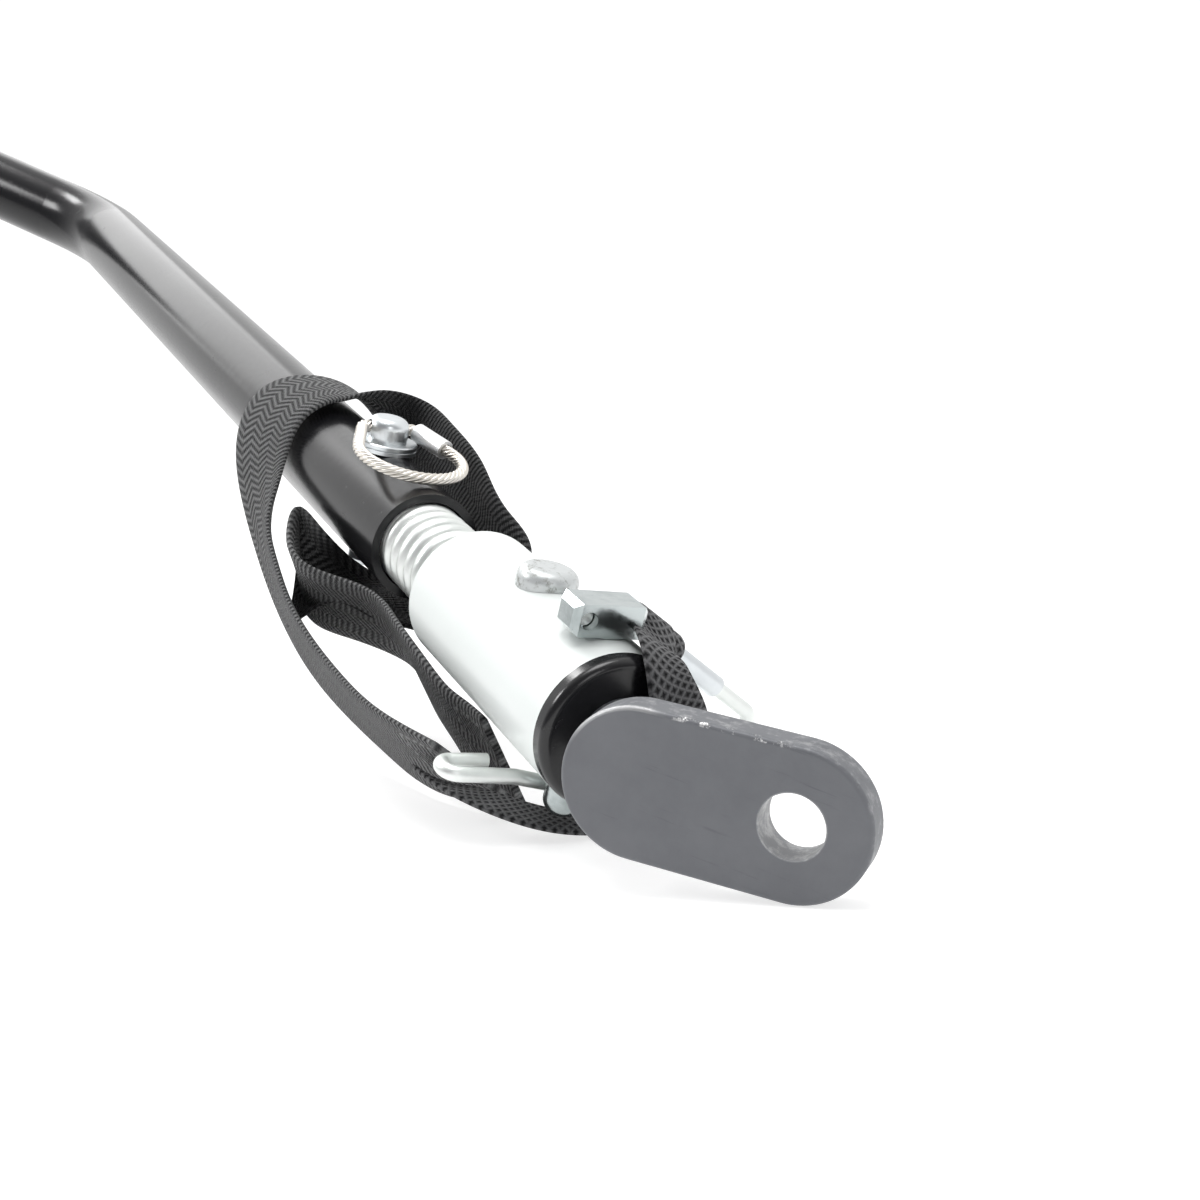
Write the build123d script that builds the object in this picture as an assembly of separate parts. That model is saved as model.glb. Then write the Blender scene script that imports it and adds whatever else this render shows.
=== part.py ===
from build123d import *
import os
from math import asin, atan2, cos, degrees, radians, sin, tan

# Spring hitch for a bicycle trailer: the front end of a drawbar, a coil spring that lets it bend, and
# the coupler that carries the axle tongue. Millimetres. The origin is the centre of the axle hole,
# +X is the way of travel, +Y is left along the axle and +Z is up.
# The bar frame starts at the coupler's front end: x forward along the bar, y left and z up.

# Axle tongue
hole_diameter = 12.0
plate_width = 28.3
plate_reach = 28.5
plate_thickness = 7.3
plate_rise = 6.4
plate_edge_radius = 0.9
elbow_angle = 40.4
elbow_setback = 19.4
stem_drop = 4.75
stem_diameter = 16.0
neck_length = 31.0
neck_fillet = 2.5

# Coupler
sleeve_diameter = 31.0
sleeve_wall = 2.0
sleeve_length = 69.0
sleeve_edge_radius = 3.0
sleeve_lip = 4.0
bushing_flange = 4.0
bushing_rim_radius = 1.8
bushing_depth = 24.0
rivet_setback = 36.0
rivet_diameter = 6.0
rivet_head_diameter = 13.0
rivet_head_height = 3.4
rivet_tail_diameter = 9.5
rivet_tail_height = 1.2

# Spring and the plugs that carry it
spring_gap = 29.0
spring_seat = 13.0
spring_wire = 4.2
spring_pitch = 4.5
spring_diameter = 21.6
spigot_length = 11.0
rear_plug_length = 40.0
plug_chamfer = 1.0

# Drawbar
tube_diameter = 26.5
tube_wall = 2.0
tube_straight = 380.0
tube_bend_radius = 60.0
tail_length = 150.0
tail_rise = 6.0

# Drawbar pin and its pull ring
drawbar_pin_setback = 36.0
drawbar_pin_diameter = 8.0
drawbar_pin_tip = 4.0
drawbar_pin_chamfer = 1.5
drawbar_head_diameter = 10.5
drawbar_head_height = 5.8
drawbar_head_radius = 2.6
washer_diameter = 16.0
washer_thickness = 1.2
ring_wire = 3.0
ring_radius = 12.8
ring_reach = 17.5
ring_neck = 13.8
ring_corner_radius = 2.5
ring_dip = 6.8
ferrule_diameter = 4.8
ferrule_length = 10.5

# Lock pin and its wire bail
lock_pin_setback = 10.0
lock_pin_diameter = 8.0
lock_pin_tip = 8.0
lock_tip_radius = 3.4
lock_head_width = 16.0
lock_head_depth = 8.0
lock_head_height = 6.6
lock_head_shift = -1.0
lock_head_chamfer = 1.3
bail_wire = 3.2
bail_pivot_offset = 5.8
bail_reach = 22.6
bail_shoulder = 9.0
bail_bend_radius = 2.6
bail_return = 5.6
bail_sleeve_diameter = 4.6
bail_sleeve_start = 0.36
bail_sleeve_end = 0.72

# Webbing
strap_width = 27.0
strap_thickness = 1.6
strap_clearance = 1.0
strap_end_setback = 17.0
strap_wrap_setback = 87.0
tape_width = 10.0
tape_thickness = 1.2

# Fits
slide_fit = 0.2
seat_fit = 0.05

os.makedirs("parts", exist_ok=True)

forward = Vector(cos(radians(elbow_angle)), -sin(radians(elbow_angle)), 0)
left = Vector(sin(radians(elbow_angle)), cos(radians(elbow_angle)), 0)
elbow = Vector(-elbow_setback, 0, -stem_drop)
bar = Location(Plane(origin=elbow - forward * neck_length, x_dir=forward, z_dir=(0, 0, 1)))

stem_radius = stem_diameter / 2
sleeve_radius = sleeve_diameter / 2
sleeve_bore = sleeve_radius - sleeve_wall
tube_radius = tube_diameter / 2
tube_bore = tube_radius - tube_wall
spring_radius = spring_diameter / 2
coil_radius = spring_radius - spring_wire / 2
spigot_radius = coil_radius - spring_wire / 2 - slide_fit
mouth_x = -sleeve_length - spring_gap
front_seat_x = -sleeve_length + spring_seat
rear_seat_x = mouth_x - spring_seat
drawbar_pin_x = mouth_x - drawbar_pin_setback
lock_pin_x = -lock_pin_setback
rivet_x = -rivet_setback


def save(name, solid):
    export_step(bar * solid, f"parts/{name}.step")


def rod(radius, start, end):
    """A round bar along the bar's axis between two places on it."""
    return extrude(Plane.YZ.offset(start) * Circle(radius), end - start)


def post(radius, x, bottom, top):
    """A vertical round bar that crosses the bar's axis at x."""
    return Pos(x, 0, bottom) * extrude(Circle(radius), top - bottom)


def pin_hole(pin_diameter, x):
    reach = sleeve_diameter
    return post(pin_diameter / 2 + slide_fit, x, -reach, reach)


def wire_along(path, diameter):
    return sweep(Plane(origin=path @ 0, z_dir=path % 0) * Circle(diameter / 2), path=path)


def webbing(stations, width, thickness):
    """A woven band: each station is a centre and the direction in which the band's width lies."""
    centres = [Vector(*centre) for centre, edge in stations]
    last = len(centres) - 1
    lengths = [0.0]
    for start, end in zip(centres, centres[1:]):
        lengths.append(lengths[-1] + (end - start).length)
    shares = [length / lengths[-1] for length in lengths]
    corners = [[], [], [], []]
    for i, (centre, edge) in enumerate(stations):
        run = centres[min(i + 1, last)] - centres[max(i - 1, 0)]
        face = Plane(origin=centre, x_dir=edge, z_dir=run)
        half = face.x_dir * (width / 2)
        skin = face.y_dir * (thickness / 2)
        for corner, offset in zip(corners, (half + skin, skin - half, -half - skin, half - skin)):
            corner.append(centres[i] + offset)
    rails = [Edge.make_spline(corner, parameters=shares) for corner in corners]
    sides = [Face.make_surface_from_curves(rails[k - 1], rails[k]) for k in range(4)]
    ends = [Face(Wire.make_polygon([corner[i] for corner in corners])) for i in (0, last)]
    return Solid(Shell(sides + ends))


# Forged tongue: a flat plate with the axle hole, on a round stem that turns into the coupler
def axle_tongue():
    slot = Pos(-plate_reach / 2, 0) * SlotCenterToCenter(plate_reach, plate_width)
    plate = extrude(Plane.XZ * Rot(0, 0, plate_rise) * slot, plate_thickness / 2, both=True)
    faces = plate.faces().sort_by(Axis.Y)
    plate = fillet(faces[0].edges() + faces[-1].edges(), plate_edge_radius)
    overrun = stem_radius / tan(radians(elbow_angle)) + plate_thickness
    stem = bar * rod(stem_radius, -bushing_depth, neck_length + overrun)
    tongue = plate + split(stem, Plane.XZ, keep=Keep.BOTTOM)
    tongue = fillet(tongue.edges().filter_by(GeomType.ELLIPSE), neck_fillet)
    tongue -= extrude(Plane.XZ * Circle(hole_diameter / 2), plate_thickness, both=True)
    return bar.inverse() * tongue - pin_hole(lock_pin_diameter, lock_pin_x)


# Flanged bushing that closes the coupler's front and holds the stem
def front_bushing():
    flange = rod(sleeve_radius, 0, bushing_flange)
    flange = fillet(flange.edges().sort_by(Axis.X)[-1], bushing_rim_radius)
    bushing = flange + rod(sleeve_bore - seat_fit, -bushing_depth, 0)
    bushing -= rod(stem_radius + seat_fit, -bushing_depth, bushing_flange)
    return bushing - pin_hole(lock_pin_diameter, lock_pin_x)


# Coupler: a painted sleeve with a rolled rear edge that closes in on the spring
def coupler_sleeve():
    sleeve = rod(sleeve_radius, -sleeve_length, 0)
    sleeve = fillet(sleeve.edges().sort_by(Axis.X)[0], sleeve_edge_radius)
    sleeve -= rod(sleeve_bore, -sleeve_length + sleeve_lip, 0)
    sleeve -= rod(spring_radius + slide_fit, -sleeve_length, 0)
    sleeve -= pin_hole(rivet_diameter, rivet_x)
    return sleeve - pin_hole(lock_pin_diameter, lock_pin_x)


# Turned plug that carries the spring's front end inside the coupler
def front_plug():
    plug = rod(sleeve_bore - seat_fit, front_seat_x, -bushing_depth)
    spigot = rod(spigot_radius, front_seat_x - spigot_length, front_seat_x)
    spigot = chamfer(spigot.edges().sort_by(Axis.X)[0], plug_chamfer)
    return plug + spigot - pin_hole(rivet_diameter, rivet_x)


# Mushroom rivet that holds the front plug, with heads formed to the sleeve
def coupler_rivet():
    top = sleeve_radius + rivet_head_height
    head = post(rivet_head_diameter / 2, rivet_x, 0, top)
    head = fillet(head.edges().sort_by(Axis.Z)[-1], rivet_head_height * 0.8)
    tail = post(rivet_tail_diameter / 2, rivet_x, -sleeve_radius - rivet_tail_height, 0)
    tail = fillet(tail.edges().sort_by(Axis.Z)[0], rivet_tail_height * 0.8)
    heads = head + tail - rod(sleeve_radius + seat_fit, -sleeve_length, 0)
    return heads + post(rivet_diameter / 2, rivet_x, -sleeve_radius, sleeve_radius)


# Closed-wound coil spring, seated on the plugs' shoulders
def coupling_spring():
    length = front_seat_x - rear_seat_x - spring_wire
    coil = Helix(pitch=spring_pitch, height=length, radius=coil_radius)
    spring = sweep(Plane(origin=coil @ 0, z_dir=coil % 0) * Circle(spring_wire / 2), path=coil, is_frenet=True)
    return Pos(rear_seat_x + spring_wire / 2, 0, 0) * Rot(0, 90, 0) * spring


# Turned plug that carries the spring's rear end inside the tube
def rear_plug():
    plug = rod(tube_bore - slide_fit, rear_seat_x - rear_plug_length, rear_seat_x)
    spigot = rod(spigot_radius, rear_seat_x, rear_seat_x + spigot_length)
    spigot = chamfer(spigot.edges().sort_by(Axis.X)[-1], plug_chamfer)
    return plug + spigot - pin_hole(drawbar_pin_diameter, drawbar_pin_x)


# Drawbar: a bent tube, open at the mouth and cut square at the rear
def drawbar_tube():
    tail = Vector(-cos(radians(tail_rise)), 0, sin(radians(tail_rise)))
    tail = Vector(tail.dot(forward), tail.dot(left), tail.Z)
    mouth = Vector(mouth_x, 0, 0)
    corner = mouth - Vector(tube_straight, 0, 0)
    line = FilletPolyline(mouth, corner, corner + tail * tail_length, radius=tube_bend_radius)
    ring = Circle(tube_radius) - Circle(tube_bore)
    tube = sweep(Plane(origin=mouth, z_dir=(-1, 0, 0)) * ring, path=line)
    return tube - pin_hole(drawbar_pin_diameter, drawbar_pin_x)


# Pull pin through the tube and the rear plug, with a cross hole in its head for the ring
washer_top = tube_radius + 2 * washer_thickness
ring_pivot_z = washer_top + ring_wire
ring_pivot = Vector(drawbar_pin_x, 0, ring_pivot_z)


def drawbar_pin():
    shank = post(drawbar_pin_diameter / 2, drawbar_pin_x, -tube_radius - drawbar_pin_tip, washer_top)
    shank = chamfer(shank.edges().sort_by(Axis.Z)[0], drawbar_pin_chamfer)
    head = post(drawbar_head_diameter / 2, drawbar_pin_x, washer_top, washer_top + drawbar_head_height)
    head = fillet(head.edges().sort_by(Axis.Z)[-1], drawbar_head_radius)
    hole = Pos(ring_pivot) * Cylinder(ring_wire / 2 + slide_fit, drawbar_head_diameter, rotation=(90, 0, 0))
    return shank + head - hole


def pin_washer(bottom):
    washer = post(washer_diameter / 2, drawbar_pin_x, bottom, bottom + washer_thickness)
    washer = chamfer(washer.edges().group_by(Axis.Z)[-1], washer_thickness / 4)
    return washer - pin_hole(drawbar_pin_diameter, drawbar_pin_x)


# Wire-rope ring through the pin's head: its straight sides run from the hole to a round bow, which dips
# to the tube in front, and a crimped ferrule closes it beside the head
ring_frame = Pos(ring_pivot) * Rot(0, ring_dip, 0)
bow_centre = Vector(ring_reach, 0)
ring_corner = Vector(0, ring_neck / 2)
corner_to_bow = bow_centre - ring_corner
side_angle = degrees(asin(ring_radius / corner_to_bow.length) + atan2(corner_to_bow.Y, corner_to_bow.X))
side_length = (corner_to_bow.length**2 - ring_radius**2) ** 0.5


def pull_ring():
    side = PolarLine(ring_corner, side_length, side_angle)
    other_side = mirror(side, Plane.XZ)
    bow = CenterArc(bow_centre, ring_radius, side_angle + 90, -2 * (side_angle + 90))
    neck = Line(-ring_corner, ring_corner)
    loop = make_face([neck, side, bow, other_side])
    corners = loop.vertices().group_by(Axis.X)[0]
    loop = fillet(corners, ring_corner_radius)
    return ring_frame * wire_along(loop.face().outer_wire(), ring_wire)


def ring_ferrule():
    side = PolarLine(ring_corner, side_length, side_angle)
    crimp = Circle(ferrule_diameter / 2) - Circle(ring_wire / 2 + seat_fit)
    start = side @ 1 - (side % 1) * (side_length + ferrule_length) / 2
    return ring_frame * extrude(Plane(origin=start, z_dir=side % 1) * crimp, ferrule_length)


# Lock pin through the coupler, the bushing and the stem, with a forged cross head
lock_head_z = sleeve_radius + slide_fit
bail_pivot_z = lock_head_z + lock_head_height / 2
bail_x = lock_pin_x - lock_head_depth / 2 - bail_bend_radius
lock_pin_end = -sleeve_radius - lock_pin_tip


def lock_pin():
    shank = post(lock_pin_diameter / 2, lock_pin_x, lock_pin_end, lock_head_z)
    shank = fillet(shank.edges().sort_by(Axis.Z)[0], lock_tip_radius)
    head = Box(lock_head_depth, lock_head_width, lock_head_height, align=(Align.CENTER, Align.CENTER, Align.MIN))
    head = chamfer(head.edges().filter_by(Axis.X) + head.edges().filter_by(Axis.Z), lock_head_chamfer)
    pivot = Pos(lock_pin_x, -bail_pivot_offset, bail_pivot_z)
    hole = pivot * Cylinder(bail_wire / 2 + slide_fit, lock_head_depth, rotation=(0, 90, 0))
    return shank + Pos(lock_pin_x, lock_head_shift, lock_head_z) * head - hole


# Spring-wire bail: pivots in the head, bows round the coupler and snaps past the pin's tip to a finger tab
bow_top = Vector(bail_x, bail_shoulder, sleeve_radius + 0.1 * bail_wire)
bow_side = Vector(bail_x, 2.75 * sleeve_radius, -1.1 * bail_wire)


def lock_bail():
    under = -sleeve_radius - bail_wire * 1.7
    points = [
        Vector(lock_pin_x + lock_head_depth / 4, -bail_pivot_offset, bail_pivot_z),
        Vector(bail_x, -bail_pivot_offset, bail_pivot_z),
        bow_top,
        bow_side,
        bow_side + Vector(0, 1.5 * bail_wire, -3.5 * bail_wire),
        Vector(bail_x, 2.2 * sleeve_radius, under - bail_wire / 2),
        Vector(bail_x, lock_pin_diameter / 2, under),
        Vector(bail_x, -lock_pin_diameter, -sleeve_radius - bail_wire),
        Vector(bail_x, -bail_reach, -sleeve_radius - 0.8 * bail_wire),
        Vector(bail_x - bail_return, -bail_reach, -sleeve_radius - 0.8 * bail_wire),
        Vector(bail_x - bail_return, -lock_pin_diameter * 1.5, -sleeve_radius - 0.8 * bail_wire),
    ]
    return wire_along(FilletPolyline(*points, radius=bail_bend_radius), bail_wire)


def bail_sleeve():
    run = bow_side - bow_top
    start = bow_top + run * bail_sleeve_start
    length = run.length * (bail_sleeve_end - bail_sleeve_start)
    ring = Circle(bail_sleeve_diameter / 2) - Circle(bail_wire / 2 + seat_fit)
    return extrude(Plane(origin=start, z_dir=run) * ring, length)


# Safety strap: one length of webbing, slung over the tube and under the spring, its ends sewn together
strap_end_x = lock_pin_x - strap_end_setback
strap_wrap_x = mouth_x - strap_wrap_setback
wrap_radius = tube_radius + strap_clearance + strap_thickness / 2


def strap_x(share):
    """A place along the strap's run: 0 at its sewn ends, 1 where it crosses the tube."""
    return strap_end_x + share * (strap_wrap_x - strap_end_x)


def safety_strap():
    hang = sleeve_radius
    wrap = wrap_radius
    lower_run = [
        ((strap_x(0.00), -0.75 * hang, -1.50 * hang), (0, 0.85, -0.52)),
        ((strap_x(0.12), -1.02 * hang, -1.84 * hang), (0, 0.72, -0.70)),
        ((strap_x(0.30), -1.08 * hang, -2.12 * hang), (0, 0.64, -0.76)),
        ((strap_x(0.53), -1.20 * hang, -2.10 * hang), (-0.10, 0.52, -0.85)),
        ((strap_x(0.69), -1.22 * wrap, -1.94 * wrap), (-0.60, 0.36, -0.70)),
        ((strap_x(0.81), -1.20 * wrap, -1.50 * wrap), (-0.80, 0.20, -0.35)),
        ((strap_x(0.89), -1.16 * wrap, -0.84 * wrap), (-0.98, 0, 0.10)),
    ]
    over_tube = [
        ((strap_x(0.93), -1.18 * wrap, -0.12 * wrap), (-0.97, -0.12, 0.16)),
        ((strap_x(0.945), -0.96 * wrap, 0.66 * wrap), (-0.98, -0.08, 0.10)),
        ((strap_x(0.955), -0.40 * wrap, 1.02 * wrap), (-1, 0, 0)),
        ((strap_x(0.95), 0.18 * wrap, 1.07 * wrap), (-1, 0, -0.05)),
        ((strap_x(0.92), 0.82 * wrap, 0.90 * wrap), (-0.94, 0, -0.28)),
    ]
    far_side = [
        ((strap_x(0.86), 1.20 * wrap, 0.52 * wrap), (-0.45, 0, -0.90)),
        ((strap_x(0.74), 1.33 * wrap, 0.40 * wrap), (0, 0, -1)),
        ((strap_x(0.59), 1.31 * wrap, 0.18 * wrap), (0, 0, -1)),
        ((strap_x(0.48), 1.25 * hang, -0.14 * hang), (0, 0, -1)),
        ((strap_x(0.39), 1.23 * hang, -0.56 * hang), (0, 0, -1)),
        ((strap_x(0.34), 1.16 * hang, -1.16 * hang), (-0.35, 0.25, -0.90)),
    ]
    upper_run = [
        ((strap_x(0.42), 0.80 * wrap, -1.46 * wrap), (-0.35, 0.85, -0.35)),
        ((strap_x(0.52), 0.28 * wrap, -1.32 * wrap), (-0.45, 0.88, 0)),
        ((strap_x(0.61), -0.32 * wrap, -1.42 * wrap), (-0.45, 0.85, 0.05)),
        ((strap_x(0.68), -0.95 * wrap, -1.50 * wrap), (-0.25, 0, 0.95)),
        ((strap_x(0.72), -0.96 * wrap, -1.32 * wrap), (0, -0.30, 0.95)),
        ((strap_x(0.66), -1.12 * wrap, -1.38 * wrap), (0.20, -0.40, 0.88)),
        ((strap_x(0.52), -0.92 * wrap, -1.46 * wrap), (0.40, -0.55, 0.75)),
        ((strap_x(0.42), -0.30 * wrap, -1.42 * wrap), (0, -0.66, 0.75)),
        ((strap_x(0.24), -0.28 * hang, -1.34 * hang), (0, -0.72, 0.69)),
        ((strap_x(0.10), -0.42 * hang, -1.34 * hang), (0, -0.80, 0.60)),
        ((strap_x(0.00), -0.62 * hang, -1.33 * hang), (0, -0.85, 0.52)),
    ]
    return webbing(lower_run + over_tube + far_side + upper_run, strap_width, strap_thickness)


# Lanyard tape: looped over the bail beside the pin's head, then under the coupler to the strap's end
def lanyard_tape():
    hang = sleeve_radius
    along_bail = (bow_side - bow_top).normalized()
    knot = bow_top + along_bail * tape_width / 2
    across = tuple(along_bail)
    grip = bail_wire / 2 + tape_thickness
    stations = [
        (tuple(knot + Vector(-1.9 * grip, 0, -0.3 * grip)), across),
        (tuple(knot + Vector(0, 0, 1.30 * grip)), across),
        (tuple(knot + Vector(2.2 * grip, 0, 0)), across),
        ((lock_pin_x + 4, 1.26 * hang, 0.48 * hang), (-1, 0, -0.10)),
        ((lock_pin_x + 3, 1.50 * hang, -0.39 * hang), (-1, -0.10, -0.10)),
        ((lock_pin_x + 2, 1.29 * hang, -1.29 * hang), (-1, 0, 0)),
        ((lock_pin_x, 0.39 * hang, lock_pin_end - 2), (-0.95, 0.20, 0)),
        ((lock_pin_x - 7, -0.48 * hang, lock_pin_end - 2.5), (-0.75, 0.60, 0)),
        ((strap_end_x, -0.94 * hang, -1.72 * hang), (-0.40, 0.90, -0.20)),
        ((strap_end_x - tape_width, -1.08 * hang, -1.90 * hang), (0, 0.80, -0.60)),
    ]
    return webbing(stations, tape_width, tape_thickness)


save("axle_tongue", axle_tongue())
save("front_bushing", front_bushing())
save("coupler_sleeve", coupler_sleeve())
save("front_plug", front_plug())
save("coupler_rivet", coupler_rivet())
save("coupling_spring", coupling_spring())
save("rear_plug", rear_plug())
save("drawbar_tube", drawbar_tube())
save("drawbar_pin", drawbar_pin())
save("lower_pin_washer", pin_washer(tube_radius))
save("upper_pin_washer", pin_washer(tube_radius + washer_thickness))
save("pull_ring", pull_ring())
save("ring_ferrule", ring_ferrule())
save("lock_pin", lock_pin())
save("lock_bail", lock_bail())
save("bail_sleeve", bail_sleeve())
save("safety_strap", safety_strap())
save("lanyard_tape", lanyard_tape())
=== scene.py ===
from math import asin, atan2, cos, hypot, pi, radians, sin, sqrt, tan

import bpy
import numpy as np
from mathutils import Matrix, Vector


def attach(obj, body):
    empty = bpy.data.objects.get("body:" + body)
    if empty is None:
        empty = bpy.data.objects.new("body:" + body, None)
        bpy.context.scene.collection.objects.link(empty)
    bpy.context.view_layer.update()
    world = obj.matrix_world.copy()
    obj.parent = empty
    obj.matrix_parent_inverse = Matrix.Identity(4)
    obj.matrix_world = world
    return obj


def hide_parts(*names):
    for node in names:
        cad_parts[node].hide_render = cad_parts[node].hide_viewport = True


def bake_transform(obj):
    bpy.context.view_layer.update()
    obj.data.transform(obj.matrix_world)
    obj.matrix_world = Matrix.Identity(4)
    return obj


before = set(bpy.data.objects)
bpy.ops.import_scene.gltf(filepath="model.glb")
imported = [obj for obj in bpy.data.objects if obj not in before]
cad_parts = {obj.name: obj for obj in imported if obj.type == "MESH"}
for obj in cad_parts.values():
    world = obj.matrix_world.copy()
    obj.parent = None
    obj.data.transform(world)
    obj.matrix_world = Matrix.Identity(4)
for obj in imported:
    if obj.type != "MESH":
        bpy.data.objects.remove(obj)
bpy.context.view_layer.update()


# Drawbar tube: steel tube with one bend and a square-cut tail, painted gloss black.
# The paint has a slight orange peel and dull rubbed specks.
coupler_front = (-43.008, 20.092, -4.75)
bar_cos = 0.76154
bar_sin = 0.64812


def bar(x, y, z):
    """A place along the bar, in mm from the coupler's front end: forward, left and up."""
    east = coupler_front[0] + bar_cos * x + bar_sin * y
    north = coupler_front[1] - bar_sin * x + bar_cos * y
    return Vector((east, north, z + coupler_front[2])) / 1000


class Tone:
    """A socket in a finish's node tree: arithmetic adds Math nodes, and node() adds any other."""

    def __init__(self, tree, socket=None):
        self.tree = tree
        self.socket = socket

    def node(self, kind, settings, inputs, out=0):
        made = self.tree.nodes.new("ShaderNode" + kind)
        for key, value in settings.items():
            setattr(made, key, value)
        for key, value in inputs.items():
            self.feed(made.inputs[key], value)
        return Tone(self.tree, made.outputs[out])

    def feed(self, socket, value):
        if isinstance(value, Tone):
            self.tree.links.new(value.socket, socket)
        else:
            socket.default_value = value

    def math(self, operation, *values):
        return self.node("Math", {"operation": operation}, dict(enumerate(values)))

    def __add__(self, other):
        return self.math("ADD", self, other)

    def __sub__(self, other):
        return self.math("SUBTRACT", self, other)

    def __rsub__(self, other):
        return self.math("SUBTRACT", other, self)

    def __mul__(self, other):
        return self.math("MULTIPLY", self, other)

    def __truediv__(self, other):
        return self.math("DIVIDE", self, other)

    def __abs__(self):
        return self.math("ABSOLUTE", self)

    __radd__ = __add__
    __rmul__ = __mul__

    def at_least(self, low):
        return self.math("MAXIMUM", self, low)

    def at_most(self, high):
        return self.math("MINIMUM", self, high)

    def root(self):
        return self.math("SQRT", self)

    def zigzag(self, height):
        """Up to height and down again, over and over."""
        return self.math("PINGPONG", self, height)

    def wave(self):
        """A smooth wave that repeats once in each whole step of this tone."""
        return self.math("SINE", self * (2 * pi))

    def step(self, low, high):
        """0 below low and 1 above high, smooth between them; low may be the larger."""
        settings = {"interpolation_type": "SMOOTHSTEP"}
        return self.node("MapRange", settings, {"Value": self, "From Min": low, "From Max": high})

    def between(self, plain, marked):
        """The plain colour where this tone is 0 and the marked one where it is 1."""
        settings = {"data_type": "RGBA", "clamp_factor": True}
        first, second = (c if isinstance(c, Tone) else (*c, 1) for c in (plain, marked))
        return self.node("Mix", settings, {0: self, 6: first, 7: second}, out=2)


class Finish:
    """A material on the shader's own sockets, with tones for what changes over the surface."""

    def __init__(self, name, constants):
        self.material = bpy.data.materials.new(name)
        self.material.use_nodes = True
        self.shader = self.material.node_tree.nodes["Principled BSDF"]
        self.tone = Tone(self.material.node_tree)
        for socket, value in constants.items():
            self.shader.inputs[socket].default_value = value

    def set(self, socket, tone):
        self.tone.feed(self.shader.inputs[socket], tone)

    def place(self):
        """The place on the piece at rest."""
        return self.tone.node("TexCoord", {}, {}, out=3)

    def axes(self, vector):
        split = self.tone.node("SeparateXYZ", {}, {0: vector})
        return [Tone(split.tree, split.socket.node.outputs[k]) for k in range(3)]

    def band(self):
        """The places across and along a woven band, in metres."""
        return self.axes(self.tone.node("UVMap", {"uv_map": "weave"}, {}))[:2]

    def noise(self, scale, detail=3.0, roughness=0.55, vector=None):
        inputs = {"Scale": scale, "Detail": detail, "Roughness": roughness}
        inputs["Vector"] = vector or self.place()
        return self.tone.node("TexNoise", {}, inputs)

    def relief(self, height, depth, strength=1.0):
        inputs = {"Height": height, "Distance": depth, "Strength": strength}
        self.set("Normal", self.tone.node("Bump", {}, inputs))

    def on(self, *nodes):
        for node in nodes:
            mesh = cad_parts[node].data
            mesh.materials.clear()
            mesh.materials.append(self.material)


gloss_black = Finish("gloss black paint", {"Metallic": 0.0, "IOR": 1.42})
rubbed = gloss_black.noise(300, 6, 0.7).step(0.60, 0.74)
gloss_black.set("Base Color", rubbed.between((0.005, 0.005, 0.006), (0.016, 0.016, 0.017)))
gloss_black.set("Roughness", 0.17 + 0.08 * gloss_black.noise(35, 4) + 0.10 * rubbed)
gloss_black.relief(gloss_black.noise(420, 2), 0.00008, 0.25)
gloss_black.on("drawbar_tube")


# Turned plugs: plain steel bars that carry the spring inside the tube and inside the coupler.
# The rear one is held by the pull pin and the front one by the rivet.
turned_steel = Finish("turned steel", {"Metallic": 1.0})
turned_steel.set("Base Color", turned_steel.noise(60, 4).between((0.42, 0.42, 0.43), (0.62, 0.62, 0.64)))
turned_steel.set("Roughness", 0.32 + 0.15 * turned_steel.noise(400, 2))
turned_steel.on("rear_plug", "front_plug")


# Coupling spring: close-wound round wire, zinc-plated, that lets the drawbar bend against the bike.
# Its ends sit on the plugs' spigots, one in the tube's mouth and one in the coupler.
spring_middle_x = -83.5
spring_reach = 13.5
spring_middle = bar(spring_middle_x, 0, 0)


def mesh_piece(name, points, faces, uvs=None):
    """A smooth mesh from points and faces; uvs are given by point."""
    mesh = bpy.data.meshes.new(name)
    mesh.from_pydata([tuple(p) for p in points], [], faces)
    mesh.polygons.foreach_set("use_smooth", [True] * len(mesh.polygons))
    if uvs is not None:
        layer = mesh.uv_layers.new(name="weave")
        corners = np.empty(len(mesh.loops), dtype=np.int32)
        mesh.loops.foreach_get("vertex_index", corners)
        layer.data.foreach_set("uv", np.asarray(uvs, dtype=np.float32)[corners].ravel())
    mesh.update()
    piece = bpy.data.objects.new(name, mesh)
    bpy.context.scene.collection.objects.link(piece)
    return piece


def tube_faces(rings, sides, closed=False):
    """Quads between rings of points, in order."""
    faces = []
    for i in range(rings if closed else rings - 1):
        for k in range(sides):
            j = (i + 1) % rings
            n = (k + 1) % sides
            faces.append((i * sides + k, i * sides + n, j * sides + n, j * sides + k))
    return faces


def split_at_spring(name, points, faces, reach, uvs=None):
    """The parts of a mesh behind and in front of the spring's middle."""
    points = np.array([tuple(p) for p in points])
    ahead = (points - np.array(spring_middle)) @ np.array((bar_cos, -bar_sin, 0))
    pieces = []
    for suffix, wanted in (("rear", False), ("front", True)):
        kept = [face for face in faces if (np.mean(ahead[list(face)]) > 0) == wanted]
        used = sorted({corner for face in kept for corner in face})
        place = {corner: i for i, corner in enumerate(used)}
        faces_kept = [tuple(place[corner] for corner in face) for face in kept]
        uvs_kept = None if uvs is None else np.asarray(uvs)[used]
        pieces.append(mesh_piece(f"{name}_{suffix}", points[used], faces_kept, uvs_kept))
    rear, front = pieces
    bar(spring_middle_x - reach, 0, 0)
    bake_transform(rear)
    bar(spring_middle_x + reach, 0, 0)
    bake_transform(front)
    return rear, front


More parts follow.
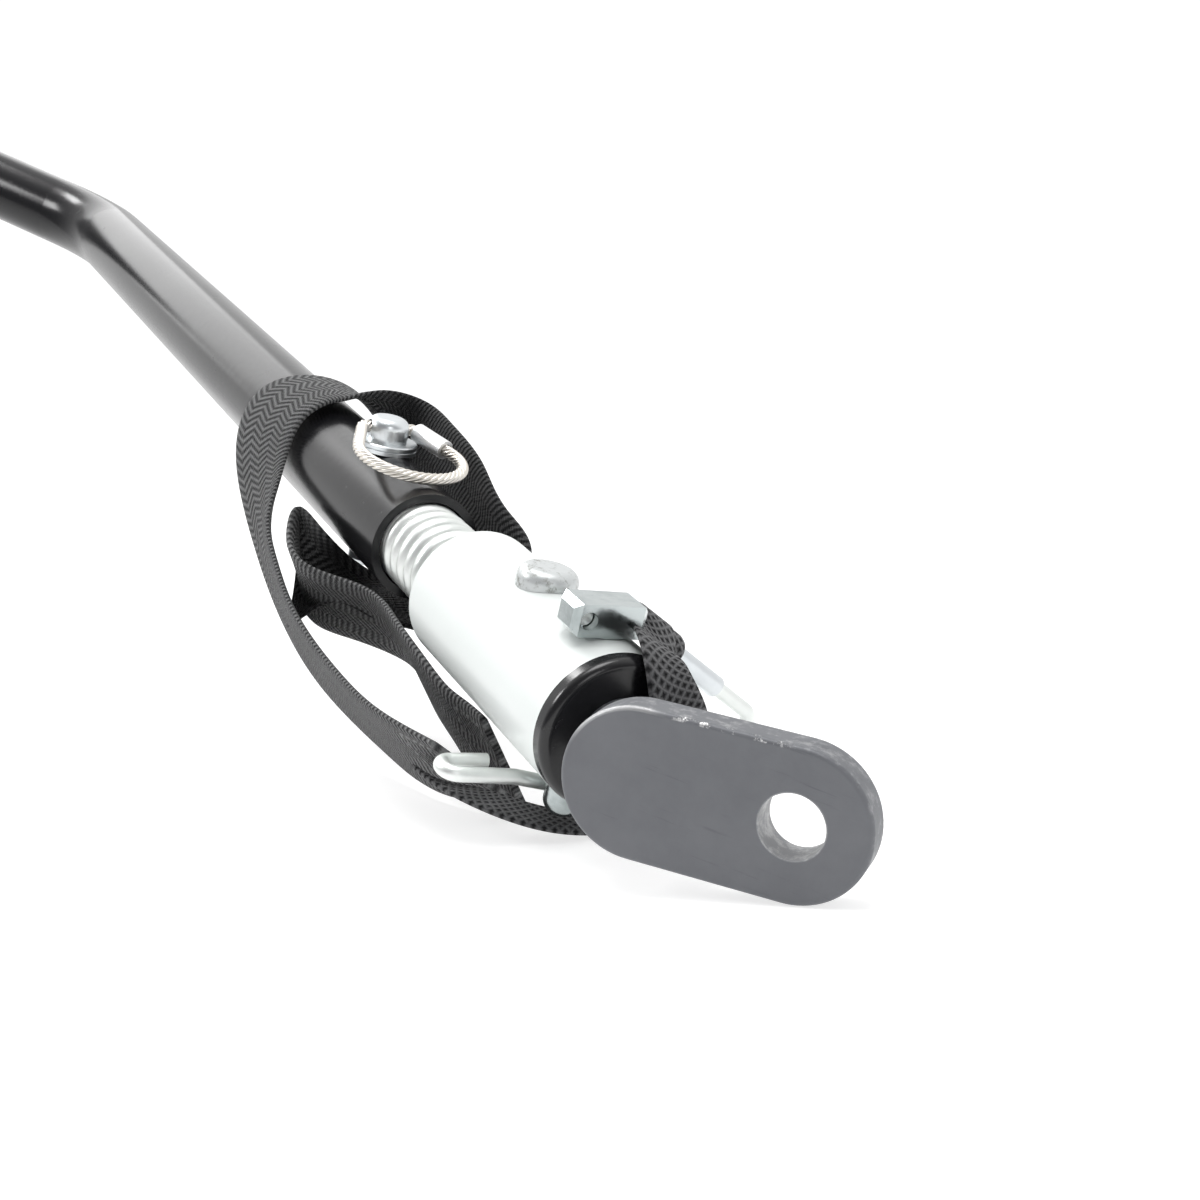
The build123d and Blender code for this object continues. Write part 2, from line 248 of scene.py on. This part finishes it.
spring_length = 55
spring_back_x = -111
coil_radius = 8.7
coil_pitch = 4.5
wire_radius = 2.1
coil_steps = 440
coil_sides = 16
coil_turns = (spring_length - 2 * wire_radius) / coil_pitch
climb = coil_pitch / (2 * pi)
coil_points = []
for i in range(coil_steps):
    turn = 2 * pi * coil_turns * i / (coil_steps - 1)
    outward = Vector((0, sin(turn), -cos(turn)))
    centre = Vector((spring_back_x + wire_radius + climb * turn, 0, 0)) + outward * coil_radius
    along = Vector((climb, coil_radius * cos(turn), coil_radius * sin(turn))).normalized()
    side = along.cross(outward)
    for k in range(coil_sides):
        angle = 2 * pi * k / coil_sides
        coil_points.append(bar(*(centre + (outward * cos(angle) + side * sin(angle)) * wire_radius)))

pale_zinc = Finish("pale zinc", {"Metallic": 0.85})
bloom = pale_zinc.noise(70, 5)
pale_zinc.set("Base Color", bloom.step(0.25, 0.8).between((0.70, 0.73, 0.71), (0.86, 0.88, 0.86)))
pale_zinc.set("Roughness", 0.34 + 0.16 * bloom)
pale_zinc.relief(pale_zinc.noise(700, 3), 0.00005, 0.4)
for piece in split_at_spring("coil", coil_points, tube_faces(coil_steps, coil_sides), spring_reach):
    piece.data.materials.append(pale_zinc.material)
    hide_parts("coupling_spring")


# Coupler sleeve: steel tube with a rolled rear edge, sprayed pale silver.
# It slides over the front plug and the bushing, and the rivet and the lock pin go through it.
silver_paint = Finish("pale silver paint", {"Metallic": 0.15, "Coat Weight": 0.3, "Coat Roughness": 0.2})
silver_paint.set("Base Color", silver_paint.noise(25, 4).between((0.70, 0.74, 0.72), (0.79, 0.82, 0.81)))
silver_paint.set("Roughness", 0.36 + 0.1 * silver_paint.noise(120, 4))
silver_paint.relief(silver_paint.noise(1100, 2), 0.00004, 0.4)
silver_paint.on("coupler_sleeve")


# Rivet: zinc-plated steel, headed over on the sleeve to hold the front plug.
# The press left grey marks on its dome.
pressed_zinc = Finish("pressed zinc", {"Metallic": 0.6})
marks = pressed_zinc.noise(620, 7, 0.72).step(0.50, 0.66)
smudge = pressed_zinc.noise(190, 4).step(0.38, 0.62)
pressed_zinc.set("Base Color", (marks * smudge).between((0.58, 0.60, 0.60), (0.24, 0.24, 0.22)))
pressed_zinc.set("Roughness", 0.38 + 0.2 * marks)
pressed_zinc.relief(pressed_zinc.noise(600, 4), 0.0001, 0.4)
pressed_zinc.on("coupler_rivet")


# Front bushing: moulded black plastic, pressed into the sleeve's front end.
# Its flange is a glossy ring between the sleeve and the tongue, with light scuffs.
black_plastic = Finish("black moulded plastic", {"Metallic": 0.0, "IOR": 1.5})
scuff = black_plastic.noise(130, 6, 0.7).step(0.55, 0.75)
black_plastic.set("Base Color", scuff.between((0.006, 0.006, 0.007), (0.020, 0.020, 0.021)))
black_plastic.set("Roughness", 0.22 + 0.22 * scuff)
black_plastic.relief(black_plastic.noise(650, 3), 0.00005, 0.4)
black_plastic.on("front_bushing")


# Axle tongue: forged steel with a dark phosphate skin, held in the bushing by the lock pin.
# Its rim is rubbed bright, with nicks along the plate's top front edge and round the axle hole, and a
# painted highlight along the upper front edge at the end away from the hole.
dark_forging = Finish("dark phosphated forging", {"Specular IOR Level": 0.5})
plate_tilt = radians(6.4)
plate_reach = 0.0285
spot = dark_forging.place()
across, through, up = dark_forging.axes(spot)
along_plate = across * cos(plate_tilt) + up * sin(plate_tilt)
over_plate = up * cos(plate_tilt) - across * sin(plate_tilt)
gap = along_plate - along_plate.at_most(0.0).at_least(-plate_reach)
rim = (gap * gap + over_plate * over_plate).root()
grain = dark_forging.noise(70, 6, 0.62)
fine = dark_forging.noise(1500, 3)
chips = dark_forging.noise(420, 6, 0.72)
front_rim = rim.step(0.01325, 0.01360) * rim.step(0.01435, 0.01405) * through.step(-0.0024, -0.0031)
nick_run = along_plate.step(-0.026, -0.022) * along_plate.step(-0.001, -0.006)
nicks = front_rim * nick_run * over_plate.step(0.010, 0.012) * chips.step(0.50, 0.58)
# Painted highlight: a bright line along the upper front edge at the plate's end away from the axle hole.
painted_highlight_line = front_rim * along_plate.step(-0.024, -0.030) * over_plate.step(0.004, 0.009)
edge = rim.step(0.0136, 0.0142) * chips.step(0.46, 0.70) * 0.35
hole_rim = (across * across + up * up).step(0.0000400, 0.0000362) * (0.25 + 0.4 * chips.step(0.45, 0.65))
# Rim wear, nicks and the painted highlight line, added together.
wear_and_highlight = (edge + hole_rim + nicks * 0.9 + painted_highlight_line * (0.35 + 0.5 * chips)).at_most(1.0)
stretch = {"Vector": spot, "Rotation": (0, plate_tilt, 0), "Scale": (60, 400, 900)}
scrape_place = dark_forging.tone.node("Mapping", {}, stretch)
scrapes = dark_forging.noise(1.0, 4, 0.6, scrape_place).step(0.60, 0.78)
skin = (grain * 0.8 + scrapes * -0.35 + 0.1).between((0.085, 0.090, 0.101), (0.195, 0.200, 0.213))
dark_forging.set("Base Color", wear_and_highlight.between(skin, (0.55, 0.55, 0.55)))
dark_forging.set("Metallic", 0.20 + 0.6 * wear_and_highlight)
dark_forging.set("Roughness", 0.44 + 0.14 * grain - 0.14 * wear_and_highlight)
dark_forging.relief(grain * 0.5 + fine * 0.25 - nicks * 2.5 - scrapes * 0.15, 0.0002, 0.5)
dark_forging.on("axle_tongue")


# Pull pin and its washers: zinc-plated steel, dropped through the tube and the rear plug.
# The plating is bright and a little cloudy.
bright_zinc = Finish("bright zinc", {"Metallic": 1.0})
zinc_cloud = bright_zinc.noise(55, 5)
zinc_spots = bright_zinc.noise(420, 4).step(0.58, 0.72)
bright_zinc.set("Base Color", zinc_cloud.step(0.25, 0.8).between((0.55, 0.58, 0.60), (0.76, 0.79, 0.80)))
bright_zinc.set("Roughness", 0.22 + 0.16 * zinc_cloud + 0.1 * zinc_spots)
bright_zinc.relief(bright_zinc.noise(700, 3), 0.00005, 0.4)
bright_zinc.on("drawbar_pin", "lower_pin_washer", "upper_pin_washer")


# Pull ring: strands of steel wire laid as a rope, bent to a D through the pin's head.
# The crimped ferrule closes its ends.
ring_x = -134
ring_z = 18.65
ring_dip = radians(6.8)
ring_radius = 12.8
ring_reach = 17.5
half_neck = 6.9
corner_radius = 2.5
side_angle = asin(ring_radius / hypot(ring_reach, half_neck)) - atan2(half_neck, ring_reach)
corner_turn = pi / 2 - side_angle
corner_cut = corner_radius * tan(corner_turn / 2)


def ring_place(x, y, z):
    """A place in the ring's own plane, which dips from the pin's head towards the tube in front."""
    ahead = x * cos(ring_dip) + z * sin(ring_dip)
    above = z * cos(ring_dip) - x * sin(ring_dip)
    return Vector((ring_x + ahead, y, ring_z + above))


def arc(x, y, radius, start, end, count):
    angles = np.linspace(start, end, count, endpoint=False)
    return [(x + radius * cos(a), y + radius * sin(a)) for a in angles]


def straight(start, end, count):
    steps = np.linspace(0, 1, count, endpoint=False)
    return [(start[0] + (end[0] - start[0]) * t, start[1] + (end[1] - start[1]) * t) for t in steps]


bow_steps = 110
side_steps = 26
corner_steps = 8
bow_end = (ring_reach - ring_radius * sin(side_angle), ring_radius * cos(side_angle))
side_start = (corner_cut * cos(side_angle), half_neck + corner_cut * sin(side_angle))
neck_end = half_neck - corner_cut
bow_turn = pi / 2 + side_angle
ring_path = arc(ring_reach, 0, ring_radius, -bow_turn, bow_turn, bow_steps)
ring_path += straight(bow_end, side_start, side_steps)
ring_path += arc(corner_radius, neck_end, corner_radius, bow_turn, pi, corner_steps)
ring_path += straight((0, neck_end), (0, -neck_end), side_steps)
ring_path += arc(corner_radius, -neck_end, corner_radius, pi, 2 * pi - bow_turn, corner_steps)
ring_path += straight((side_start[0], -side_start[1]), (bow_end[0], -bow_end[1]), side_steps)

strands = 6
strand_radius = 0.53
strand_sides = 8
lays = 9
lay_radius = 0.95
lay_advance = 1.6
rope_points = []
rope_faces = []
count = len(ring_path)
lengths = [0.0]
for i in range(count):
    here, there = ring_path[i], ring_path[(i + 1) % count]
    lengths.append(lengths[-1] + hypot(there[0] - here[0], there[1] - here[1]))
for s in range(strands):
    first = len(rope_points)
    for i, (x, y) in enumerate(ring_path):
        after, before = ring_path[(i + 1) % count], ring_path[i - 1]
        line = Vector((after[0] - before[0], after[1] - before[1], 0)).normalized()
        out = Vector((line.y, -line.x, 0))
        rise = Vector((0, 0, 1))
        turn = 2 * pi * (s / strands + lays * lengths[i] / lengths[-1])
        lay = out * cos(turn) + rise * sin(turn)
        middle = Vector((x, y, 0)) + lay * lay_radius
        slant = (line * lay_advance + (rise * cos(turn) - out * sin(turn)) * lay_radius).normalized()
        beside = slant.cross(lay)
        for k in range(strand_sides):
            angle = 2 * pi * k / strand_sides
            spot_on = middle + (lay * cos(angle) + beside * sin(angle)) * strand_radius
            rope_points.append(bar(*ring_place(*spot_on)))
    for face in tube_faces(count, strand_sides, closed=True):
        rope_faces.append(tuple(first + corner for corner in face))
rope = mesh_piece("ring_rope", rope_points, rope_faces)
rope_steel = Finish("wire rope", {"Metallic": 1.0})
rope_steel.set("Base Color", rope_steel.noise(90, 4).between((0.56, 0.51, 0.45), (0.88, 0.86, 0.81)))
rope_steel.set("Roughness", 0.28 + 0.2 * rope_steel.noise(500, 3))
rope.data.materials.append(rope_steel.material)
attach(rope, "ring")
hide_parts("pull_ring")

ferrule_metal = Finish("crimped ferrule", {"Metallic": 0.85})
crimp_marks = ferrule_metal.noise(150, 4)
ferrule_metal.set("Base Color", crimp_marks.between((0.82, 0.82, 0.82), (0.93, 0.93, 0.93)))
ferrule_metal.set("Roughness", 0.3 + 0.15 * ferrule_metal.noise(300, 3))
ferrule_metal.on("ring_ferrule")


# Lock pin: zinc-plated, with a cast cross head drilled for the bail and a rounded tip under the coupler.
# It goes down through the sleeve, the bushing and the stem. Its faces are a little rough from the casting.
cast_zinc = Finish("plated casting", {"Metallic": 1.0})
stain = cast_zinc.noise(90, 4, 0.6).step(0.40, 0.75)
specks = cast_zinc.noise(900, 5, 0.7).step(0.60, 0.75)
cast_zinc.set("Base Color", (stain * 0.5 + specks * 0.4).between((0.48, 0.52, 0.52), (0.14, 0.17, 0.17)))
cast_zinc.set("Roughness", 0.16 + 0.10 * stain + 0.15 * specks)
cast_zinc.relief(cast_zinc.noise(260, 4), 0.00018, 0.35)
cast_zinc.on("lock_pin")


# Bail: zinc-plated spring wire that pivots in the lock pin's head and snaps under its tip.
# A crimped sleeve closes it where its two ends meet.
pale_zinc.on("lock_bail")
bright_zinc.on("bail_sleeve")


# Safety strap: one length of black webbing, slung over the tube and under the spring.
# It is woven in a herringbone twill, and its two ends are sewn together under the coupler.
hang = 15.5
wrap = 15.05
strap_end_x = -27
strap_run = 158
strap_reach = 27.0


def strap_x(share):
    """A place along the strap's run: 0 at its sewn ends, 1 where it crosses the tube."""
    return strap_end_x - strap_run * share


strap_stations = [
    ((strap_x(0.00), -0.75 * hang, -1.50 * hang), (0, 0.85, -0.52)),
    ((strap_x(0.12), -1.02 * hang, -1.84 * hang), (0, 0.72, -0.70)),
    ((strap_x(0.30), -1.08 * hang, -2.12 * hang), (0, 0.64, -0.76)),
    ((strap_x(0.53), -1.20 * hang, -2.10 * hang), (-0.10, 0.52, -0.85)),
    ((strap_x(0.69), -1.22 * wrap, -1.94 * wrap), (-0.60, 0.36, -0.70)),
    ((strap_x(0.81), -1.20 * wrap, -1.50 * wrap), (-0.80, 0.20, -0.35)),
    ((strap_x(0.89), -1.16 * wrap, -0.84 * wrap), (-0.98, 0, 0.10)),
    ((strap_x(0.93), -1.18 * wrap, -0.12 * wrap), (-0.97, -0.12, 0.16)),
    ((strap_x(0.945), -0.96 * wrap, 0.66 * wrap), (-0.98, -0.08, 0.10)),
    ((strap_x(0.955), -0.40 * wrap, 1.02 * wrap), (-1, 0, 0)),
    ((strap_x(0.95), 0.18 * wrap, 1.07 * wrap), (-1, 0, -0.05)),
    ((strap_x(0.92), 0.82 * wrap, 0.90 * wrap), (-0.94, 0, -0.28)),
    ((strap_x(0.86), 1.20 * wrap, 0.52 * wrap), (-0.45, 0, -0.90)),
    ((strap_x(0.74), 1.33 * wrap, 0.40 * wrap), (0, 0, -1)),
    ((strap_x(0.59), 1.31 * wrap, 0.18 * wrap), (0, 0, -1)),
    ((strap_x(0.48), 1.25 * hang, -0.14 * hang), (0, 0, -1)),
    ((strap_x(0.39), 1.23 * hang, -0.56 * hang), (0, 0, -1)),
    ((strap_x(0.34), 1.16 * hang, -1.16 * hang), (-0.35, 0.25, -0.90)),
    ((strap_x(0.42), 0.80 * wrap, -1.46 * wrap), (-0.35, 0.85, -0.35)),
    ((strap_x(0.52), 0.28 * wrap, -1.32 * wrap), (-0.45, 0.88, 0)),
    ((strap_x(0.61), -0.32 * wrap, -1.42 * wrap), (-0.45, 0.85, 0.05)),
    ((strap_x(0.68), -0.95 * wrap, -1.50 * wrap), (-0.25, 0, 0.95)),
    ((strap_x(0.72), -0.96 * wrap, -1.32 * wrap), (0, -0.30, 0.95)),
    ((strap_x(0.66), -1.12 * wrap, -1.38 * wrap), (0.20, -0.40, 0.88)),
    ((strap_x(0.544), -0.82 * hang, -1.387 * hang), (0.26, -0.61, 0.75)),
    ((strap_x(0.478), -0.335 * hang, -1.374 * hang), (0.12, -0.65, 0.75)),
    ((strap_x(0.319), -0.37 * hang, -1.355 * hang), (-0.01, -0.57, 0.82)),
    ((strap_x(0.199), -0.43 * hang, -1.413 * hang), (0.06, -0.55, 0.83)),
    ((strap_x(0.124), -0.375 * hang, -1.51 * hang), (0.20, -0.52, 0.82)),
    ((strap_x(0.066), -0.285 * hang, -1.51 * hang), (0.16, -0.52, 0.83)),
    ((strap_x(0.006), -0.27 * hang, -1.445 * hang), (0.05, -0.55, 0.83)),
]


def smooth_line(points, places, wanted):
    """Points on the natural cubic spline through points at places, read at wanted."""
    points = np.asarray(points, dtype=float)
    gaps = np.diff(places)
    count = len(points)
    system = np.eye(count)
    right = np.zeros_like(points)
    for i in range(1, count - 1):
        system[i, i - 1:i + 2] = gaps[i - 1], 2 * (gaps[i - 1] + gaps[i]), gaps[i]
        right[i] = 6 * ((points[i + 1] - points[i]) / gaps[i] - (points[i] - points[i - 1]) / gaps[i - 1])
    bends = np.linalg.solve(system, right)
    cell = np.clip(np.searchsorted(places, wanted) - 1, 0, count - 2)
    gap = gaps[cell][:, None]
    after = (wanted - np.asarray(places)[cell])[:, None]
    before = gap - after
    curve = (bends[cell] * before ** 3 + bends[cell + 1] * after ** 3) / (6 * gap)
    curve += (points[cell] / gap - bends[cell] * gap / 6) * before
    return curve + (points[cell + 1] / gap - bends[cell + 1] * gap / 6) * after


def woven_band(stations, width, thickness, step, ribs):
    """Points, faces and weave coordinates of a band with rounded selvedges, in mm."""
    centres = np.array([centre for centre, edge in stations], dtype=float)
    last = len(centres) - 1
    rails = []
    for i, (centre, edge) in enumerate(stations):
        run = centres[min(i + 1, last)] - centres[max(i - 1, 0)]
        run /= np.linalg.norm(run)
        edge = np.array(edge, dtype=float)
        edge -= run * edge.dot(run)
        rails.append(edge / np.linalg.norm(edge))
    places = np.concatenate(([0.0], np.cumsum(np.linalg.norm(np.diff(centres, axis=0), axis=1))))
    wanted = np.linspace(0, places[-1], int(places[-1] / step) + 1)
    left = smooth_line(centres + np.array(rails) * width / 2, places, wanted)
    right = smooth_line(centres - np.array(rails) * width / 2, places, wanted)
    run = np.gradient((left + right) / 2, axis=0)
    normal = np.cross(run, left - right)
    normal /= np.linalg.norm(normal, axis=1)[:, None]
    shares = np.linspace(0, 1, ribs)
    outline = [(share, 0.5) for share in shares] + [(share, -0.5) for share in shares[::-1]]
    points = []
    uvs = []
    for i, place in enumerate(wanted):
        for share, face in outline:
            roll = sqrt(max(0.0, 1 - (2 * abs(share - 0.5)) ** 24))
            lift = normal[i] * face * thickness * (0.45 + 0.55 * roll)
            points.append(bar(*(left[i] + (right[i] - left[i]) * share + lift)))
            uvs.append(((share - 0.5) * width / 1000, place / 1000))
    sides = len(outline)
    faces = tube_faces(len(wanted), sides)
    for end in (0, (len(wanted) - 1) * sides):
        for k in range(ribs - 1):
            faces.append((end + k, end + k + 1, end + sides - 2 - k, end + sides - 1 - k))
    return points, faces, uvs


webbing = Finish("black herringbone webbing", {"Specular IOR Level": 0.25, "Sheen Weight": 0.08})
lane, way = webbing.band()
herringbone_width = 0.009
rib_spacing = 0.0017
turns = (lane / herringbone_width + 4.5).zigzag(0.5)
rib = (way / rib_spacing + turns * 2.6).wave()
check = (lane / 0.0010).wave() * (way / 0.0012).wave()
weave = rib * 0.60 + check * 0.28
fuzz = webbing.noise(2200, 3)
strap_band = woven_band(strap_stations, width=27, thickness=1.6, step=1.3, ribs=22)
strap_points, strap_faces, strap_uvs = strap_band
strap_length = strap_uvs[-1][1]
seam_middle = 0.0095
seam_half = 0.0062
seam_along = abs(way.at_most(strap_length - way) - seam_middle)
seam_across = abs(lane) * 0.62
seam_box = seam_across.at_least(seam_along)
seam_cross = abs(seam_across - seam_along).step(0.0005, 0.00025) * seam_box.step(0.0064, 0.0060)
seam = abs(seam_box - seam_half).step(0.0006, 0.0003) + seam_cross
thread = seam * ((way + lane) / 0.0026).wave().step(-0.7, -0.2)
# Painted shade: the strap is darkened along its run down the tube's far side and round the hairpin, 0.195
# to 0.388 m along it.
painted_shade_run = way.step(0.195, 0.215) * way.step(0.388, 0.372)
worn_weave = (weave * 0.42 + 0.5 + (fuzz - 0.5) * 0.6 + thread * 0.5).step(0.1, 0.95)
shade = worn_weave * (1 - 0.85 * painted_shade_run)
webbing.set("Base Color", shade.between((0.010, 0.010, 0.011), (0.205, 0.207, 0.208)))
webbing.set("Roughness", 0.72 + 0.15 * fuzz - 0.2 * thread)
webbing.relief(weave + fuzz * 0.5 + thread * 1.5, 0.0006, 1.0)
for piece in split_at_spring("strap", strap_points, strap_faces, strap_reach, strap_uvs):
    piece.data.materials.append(webbing.material)
    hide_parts("safety_strap")


# Lanyard tape: narrow braided tape, wound over the bail and led under the coupler to the strap's end.
# A second turn binds it to the wire, and its cut end is frayed.
bow_top = Vector((-16.6, 9, 15.82))
along_bail = Vector((0, 33.625, -19.34)).normalized()
bail_out = Vector((0, -along_bail.z, along_bail.y))


def on_bail(along, ahead, out):
    """A place by the bail's shoulder: along the wire, ahead of it and out from the coupler."""
    return tuple(bow_top + along_bail * along + Vector((ahead, 0, 0)) + bail_out * out)


braid = Finish("black braided tape", {"Specular IOR Level": 0.25, "Sheen Weight": 0.08})
plait_spacing = 0.0019
lane, way = braid.band()
left_lay = ((way + lane * 0.8) / plait_spacing).wave()
right_lay = ((way - lane * 0.8) / plait_spacing).wave()
plait = left_lay.at_least(right_lay)
lint = braid.noise(2400, 3)
raised = (plait * 0.4 + lint * 0.6).step(0.0, 0.8)
braid.set("Base Color", raised.between((0.010, 0.010, 0.011), (0.13, 0.13, 0.133)))
braid.set("Roughness", 0.70 + 0.18 * lint)
braid.relief(plait + lint * 0.5, 0.0004, 0.9)

tape_stations = [
    (on_bail(4.2, -3.2, -1.6), tuple(along_bail)),
    (on_bail(4.0, -2.7, 1.9), tuple(along_bail)),
    (on_bail(3.8, 0.4, 3.5), tuple(along_bail)),
    (on_bail(3.6, 3.8, 2.9), tuple(along_bail)),
    (on_bail(3.4, 6.2, 0.6), (0.05, 0.86, -0.50)),
    ((-4.0, 7.8, 16.2), (0.13, 0.84, -0.46)),
    ((3.2, 6.0, 16.2), (-0.06, 0.96, -0.22)),
    ((7.0, 7.2, 11.2), (-0.07, 0.98, 0.19)),
    ((7.6, 12.6, 2.0), (-0.10, 0.86, 0.49)),
    ((4.5, 17.8, -5.0), (-0.75, 0.07, 0.57)),
    ((-2.5, 20.6, -12.5), (-0.70, 0.25, 0.45)),
    ((-8, 1.29 * hang, -1.29 * hang), (-1, 0, 0)),
    ((-10, 0.39 * hang, -25.5), (-0.95, 0.20, 0)),
    ((-17, -0.48 * hang, -26), (-0.75, 0.60, 0)),
    ((strap_end_x, -0.94 * hang, -1.72 * hang), (-0.40, 0.90, -0.20)),
    ((strap_end_x - 10, -1.08 * hang, -1.90 * hang), (0, 0.80, -0.60)),
]
tape = mesh_piece("tape", *woven_band(tape_stations, width=10, thickness=1.2, step=0.6, ribs=12))
tape.data.materials.append(braid.material)
bar(-8, 18, -19)
bar(-6, 13, 10.5)
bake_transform(tape)
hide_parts("lanyard_tape")

turn_width = 8.5
turn_radius = 3.3
turn_stations = []
for turn in range(-120, 101, 22):
    ahead = turn_radius * sin(radians(turn))
    out = turn_radius * cos(radians(turn))
    turn_stations.append((on_bail(9.0 + 0.004 * turn, ahead, out), tuple(along_bail)))
turn_stations += [
    (on_bail(9.6, 5.2, -3.4), (0.15, 0.84, -0.52)),
    (on_bail(10.6, 9.5, -3.0), (0.10, 0.86, -0.50)),
    (on_bail(11.8, 13.4, -4.2), (0.15, 0.84, -0.52)),
]
turn_band = woven_band(turn_stations, width=turn_width, thickness=1.1, step=0.5, ribs=10)
tape_turn = mesh_piece("tape_turn", *turn_band)
tape_turn.data.materials.append(braid.material)
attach(tape_turn, "bail")
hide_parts("lanyard_tape")

fibres = 26
fibre_radius = 0.16
fibre_rings = 5
fibre_sides = 5
fray_points = []
fray_faces = []
loose = np.random.default_rng(11)
cut_end = np.array(turn_stations[-1][0])
cut_edge = np.array(turn_stations[-1][1]) / np.linalg.norm(turn_stations[-1][1])
cut_run = cut_end - np.array(turn_stations[-2][0])
cut_run /= np.linalg.norm(cut_run)
for share in np.linspace(-0.48, 0.48, fibres):
    root = cut_end + cut_edge * turn_width * share - cut_run * 0.6 + loose.normal(0, 0.12, 3)
    spread = cut_run * loose.uniform(0.7, 1.0)
    spread = spread + cut_edge * loose.normal(share * 0.5, 0.25)
    spread = spread + loose.normal(0, 0.18, 3)
    curl = loose.normal(0, 0.5, 3)
    length = loose.uniform(1.2, 2.6)
    off = Vector(spread).cross(Vector((0.3, 0.5, 0.8))).normalized()
    other = Vector(spread).normalized().cross(off)
    first = len(fray_points)
    for i in range(fibre_rings):
        part = i / (fibre_rings - 1)
        middle = Vector(root + spread * length * part + curl * part ** 2)
        radius = fibre_radius * (1 - 0.12 * i)
        for k in range(fibre_sides):
            angle = 2 * pi * k / fibre_sides
            fray_points.append(bar(*(middle + (off * cos(angle) + other * sin(angle)) * radius)))
    for face in tube_faces(fibre_rings, fibre_sides):
        fray_faces.append(tuple(first + corner for corner in face))
fray = mesh_piece("tape_fray", fray_points, fray_faces, [(0, 0)] * len(fray_points))
fray.data.materials.append(braid.material)
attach(fray, "bail")
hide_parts("lanyard_tape")


# Floor, light and camera: a plain pale floor under the hitch, and soft light from above and behind.
# The floor touches the plate, the bail and the tape; the room is bright behind the part and dim in front.
floor_up = Vector((-0.33, 0.03, 0.94)).normalized()
floor_low = min(floor_up.dot(v.co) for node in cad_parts.values() for v in node.data.vertices)
floor_half = 8
floor_corners = [(x * floor_half, y * floor_half, 0) for x, y in ((-1, -1), (1, -1), (1, 1), (-1, 1))]
floor_mesh = bpy.data.meshes.new("floor")
floor_mesh.from_pydata(floor_corners, [], [(0, 1, 2, 3)])
floor = bpy.data.objects.new("floor", floor_mesh)
floor_turn = floor_up.to_track_quat("Z", "Y").to_matrix().to_4x4()
floor.matrix_world = Matrix.Translation(floor_up * floor_low) @ floor_turn
bpy.context.scene.collection.objects.link(floor)
floor_glow = {"Emission Color": (1, 1, 1, 1), "Emission Strength": 0.68}
pale_floor = Finish("pale floor", {"Roughness": 0.9, **floor_glow})
pale_floor.set("Base Color", pale_floor.noise(3, 3).between((0.45, 0.45, 0.45), (0.48, 0.48, 0.48)))
floor_mesh.materials.append(pale_floor.material)

room = bpy.data.worlds.new("studio")
room.use_nodes = True
sky = Tone(room.node_tree)
heading = sky.node("TexCoord", {}, {}, out=0)
bright_side = (-0.28, 0.90, 0.33)
behind = sky.node("VectorMath", {"operation": "DOT_PRODUCT"}, {0: heading, 1: bright_side}, out=1)
glow = behind.step(-0.35, 0.45).between((0.28, 0.28, 0.29), (1.08, 1.08, 1.08))
sky.feed(room.node_tree.nodes["Background"].inputs["Color"], glow)
bpy.context.scene.world = room

aim = bar(-60, 0, 0)
for name, place, size, power in (
    ("overhead", (-0.30, 0.05, 0.85), 0.45, 3.8),
    ("front", (0.45, -0.60, 0.55), 0.35, 1.0),
    ("left", (-1.04, -0.24, 0.34), 0.24, 3.0),
    ("rear", (-1.20, 0.85, 0.30), 0.70, 2.2),
    ("bend", (-1.06, 0.37, 0.64), 0.22, 2.4),
):
    lamp = bpy.data.lights.new(name, "AREA")
    lamp.size = size
    lamp.energy = power
    light = bpy.data.objects.new(name, lamp)
    light.location = place
    light.rotation_euler = (aim - Vector(place)).to_track_quat("-Z", "Y").to_euler()
    bpy.context.scene.collection.objects.link(light)
bpy.context.scene.view_settings.view_transform = "Standard"

lens = bpy.data.cameras.new("camera")
lens.lens = 51.6
lens.sensor_width = 36
lens.sensor_fit = "HORIZONTAL"
lens.clip_start = 0.01
camera = bpy.data.objects.new("camera", lens)
camera.matrix_world = Matrix((
    (0.8972, -0.3158, 0.3088, 0.0482),
    (0.3817, 0.2027, -0.9018, -0.2682),
    (0.2222, 0.9269, 0.3024, 0.1154),
    (0, 0, 0, 1),
))
bpy.context.scene.collection.objects.link(camera)
bpy.context.scene.camera = camera
